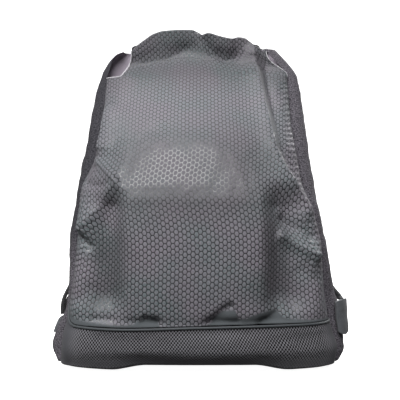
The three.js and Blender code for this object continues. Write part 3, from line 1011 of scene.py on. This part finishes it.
def back_relief(points, round_):
    """Soft upright drapes and creases of the back and side cloth."""
    x, z = points[..., 0], points[..., 2]
    wall = hump(round_, 1.05, 1.3, 2.7, 2.95)
    drape = 2.2 * np.sin(x / 19 + 0.6 * np.sin(z / 70)) * ramp(z, 150, 330)
    lower = 2.0 * np.sin(x / 34 + z / 60 + 1.2) * hump(z, 20, 80, 170, 300)
    soft = wrinkle(points + 900, 1 / 30, 5.3) * 1.6 + wrinkle(points, 1 / 11, 7.9) * 0.35
    off_seam = ramp(np.minimum(round_, 4 - round_), 0, 0.25)
    creases = sum(fold(x, z, *one) for one in BACK_FOLDS) * hump(round_, 1.1, 1.5, 2.5, 2.9)
    return ((drape + lower) * wall + soft * (1 - 0.45 * wall)) * off_seam + creases


def add_back():
    round_ = back_columns()
    ring = back_point(round_, 376)
    wall = (round_ > 1) & (round_ < 3)
    left_strip = FOLD_LINE + 37 * np.sqrt(np.clip(round_, 0, 1))
    tops = np.where(wall, back_top(ring[:, 0]), np.where(round_ < 2, left_strip, BACK_TOP))
    base = back_point(round_, BASE_EDGE)
    rows = [tucked(base, inset, lift) for inset, lift in UNDER]
    for step in steps(190):
        row = back_point(round_, BASE_EDGE + (FOLD_LINE - 1 - BASE_EDGE) * step)
        row[:, 2] += sag(row[:, 0]) * (1 - step) ** 12
        rows.append(row)
    for step in steps(30)[1:]:
        z = FOLD_LINE - 1 + (tops - FOLD_LINE + 1) * step
        row = back_point(round_, np.minimum(z, BACK_TOP))
        row[:, 2] = z
        rows.append(row)
    outer = len(rows)
    hem = (1 - ramp(np.abs(ring[:, 0]), 78, 92)) * wall
    for down, inward in BACK_HEM:
        row = rows[outer - 1].copy()
        row[:, 2] -= down * hem
        row[:, 1] -= inward * hem
        rows.append(row)
    grid = np.array(rows)
    flat = grid.copy()
    outward = -normals_of(flat[:outer])  # these columns run to the left, seen from outside
    relief = back_relief(flat[:outer], np.broadcast_to(round_, flat[:outer].shape[:2]))
    relief[: len(UNDER)] *= 0.15
    hem_calm = 1 - 0.85 * ramp(flat[:outer, :, 2], 340, 380)
    shift = outward * (relief * hem_calm)[..., None]
    grid[:outer] += shift
    for row in range(outer, len(grid)):
        grid[row] += shift[outer - 1] * [0.5, 1, 0.5]
    grid[..., 2] = np.maximum(grid[..., 2], LOWEST)
    s = np.repeat(arc_lengths(flat, 1)[outer // 2][None], len(flat), 0)
    t = arc_lengths(flat, 0)
    middle = len(round_) // 2
    t[:outer] = t[:outer, middle : middle + 1]
    made = cloth("back_cloth", grid[:, ::-1], np.stack([s, t], -1)[:, ::-1], [BACK, LINING],
                 inner_slot=1, keep=kept(grid, outer, hem)[:, ::-1])
    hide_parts("back_panel", "back_casing")
    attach(made, "bag")
    sewn = hem_stitching("back_hem_stitching", grid[:outer], hem)
    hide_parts("back_casing")
    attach(sewn, "bag")


def add_bottom():
    across = np.linspace(-0.985, 0.985, 90)
    front = tucked(front_point(across, BASE_EDGE), 30, 0.9)
    turn = np.linspace(0.02, 3.98, 400)
    back = tucked(back_point(turn, BASE_EDGE), 30, 0.9)
    order = np.argsort(back[:, 0])
    far = front.copy()
    far[:, 1] = np.interp(front[:, 0], back[order, 0], back[order, 1])
    back_share = steps(34)[:, None]
    grid = front[None] * (1 - back_share[..., None]) + far[None] * back_share[..., None]
    grid[..., 2] = 1.7 + sag(grid[..., 0]) - 0.5 * np.sin(np.pi * back_share)
    made = cloth("bottom_cloth", grid[:, ::-1], grid[:, ::-1, :2], [BACK])
    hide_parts("bottom_panel")
    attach(made, "bag")


add_back()
add_bottom()


# ---- corner tabs
TAB_CENTRE = (0, 20, 0)  # the tabs stand off away from here


def add_tab(node, body, stops, thickness, lean):
    """A folded tab that wraps a corner. Each stop gives a place round the back, the distance off the
    cloth, and the low and high edges. Its top stands out by lean more than its foot."""
    stops = np.array(stops, float)
    place = steps(len(stops))
    fine = steps(46)
    round_, off, low, high = (np.interp(fine, place, stops[:, i]) for i in range(4))
    rows = []
    for step in steps(26):
        z = low + (high - low) * step
        p = back_point(round_, z)
        out = (p - TAB_CENTRE) * [1, 1, 0]
        out /= np.linalg.norm(out, axis=1, keepdims=True)
        rows.append(p + out * (off + thickness + lean * step)[:, None])
    grid = np.array(rows)
    grid += normals_of(grid) * (wrinkle(grid, 1 / 9, 2.2) * 0.5)[..., None]
    s = arc_lengths(grid, 1)
    t = arc_lengths(grid, 0)
    if node == "right_tab":
        grid, s, t = grid[:, ::-1], s[:, ::-1], t[:, ::-1]
    faces = grid_faces(np.arange(s.size).reshape(s.shape))
    made = new_object(f"{node}_cloth", grid.reshape(-1, 3), faces, [TAB_TAPE],
                      np.stack([s, t], -1).reshape(-1, 2))
    thicken(made, thickness)
    bevel = made.modifiers.new("rounded", "BEVEL")
    bevel.width = 1.2 * MM
    bevel.segments = 3
    bevel.limit_method = "ANGLE"
    bevel.angle_limit = math.radians(50)
    apply_modifiers(made)
    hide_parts(node)
    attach(made, body)


add_tab("left_tab", "left_cord_tab",
        [(1.13, 0.6, 34, 50.5), (1.08, 0.6, 32, 50.5), (1.012, 0.6, 34, 50.5)], 4.4, 0)
add_tab("right_tab", "right_cord_tab",
        [(3.9, 0.6, 42, 76), (3.8, 0.6, 39, 77.5), (3.6, 0.6, 38, 78), (3.35, 0.8, 40, 77.5),
         (3.12, 1.2, 45, 76), (3.03, 1.6, 48, 74.5), (2.995, 2, 51, 72)], 3.2, 4.5)


# ---- carried-over pieces and light
for binding in ("left_side_binding", "right_side_binding", "front_base_binding", "back_base_binding"):
    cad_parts[binding].data.materials.clear()
    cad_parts[binding].data.materials.append(BINDING)


def glowing(name, strength):
    """A matt pale surface with its own light."""
    material = bpy.data.materials.new(name)
    material.use_nodes = True
    shader = material.node_tree.nodes["Principled BSDF"]
    shader.inputs["Base Color"].default_value = (0.9, 0.9, 0.9, 1)
    shader.inputs["Roughness"].default_value = 0.9
    shader.inputs["Specular IOR Level"].default_value = 0.0
    shader.inputs["Emission Color"].default_value = (1, 1, 1, 1)
    shader.inputs["Emission Strength"].default_value = strength
    return material


STAGE_FAR = 4000  # how far the stage reaches to the front, both sides and up, in mm
STAGE_BACK = 2500
WALL_FOOT = -10


def add_stage():
    """A pale floor and a room of pale walls with a ceiling, seen by the camera alone."""
    corners = [(-STAGE_FAR, -STAGE_FAR), (STAGE_FAR, -STAGE_FAR), (STAGE_FAR, STAGE_BACK),
               (-STAGE_FAR, STAGE_BACK)]
    floor = new_object("floor", [(x, y, 0) for x, y in corners], [(0, 1, 2, 3)],
                       [glowing("pale floor", 0.97)], smooth=False)
    walls = new_object("backdrop", [(x, y, z) for z in (WALL_FOOT, STAGE_FAR) for x, y in corners],
                       [(0, 1, 5, 4), (1, 2, 6, 5), (2, 3, 7, 6), (3, 0, 4, 7), (4, 5, 6, 7)],
                       [glowing("pale backdrop", 1.0)], smooth=False)
    for sheet in (floor, walls):
        sheet.visible_diffuse = False
        sheet.visible_glossy = False
        sheet.visible_shadow = False


def add_light(name, place, target, width, height, power):
    data = bpy.data.lights.new(name, "AREA")
    data.shape = "RECTANGLE"
    data.size, data.size_y = width, height
    data.energy = power
    light = bpy.data.objects.new(name, data)
    bpy.context.collection.objects.link(light)
    light.location = place
    point_at(light, target)


def add_world(strength):
    world = bpy.data.worlds.new("studio")
    world.use_nodes = True
    background = world.node_tree.nodes["Background"]
    background.inputs["Color"].default_value = (1, 1, 1, 1)
    background.inputs["Strength"].default_value = strength
    bpy.context.scene.world = world


bpy.context.scene.view_settings.view_transform = "Standard"
add_stage()
add_light("key", (-0.44, -1.28, 1.66), (0, 0, 0.22), 2.1, 0.9, 82)
add_light("rear", (1.2, 1.35, 1.5), (0, 0, 0.2), 1.3, 0.9, 48)
add_world(0.12)
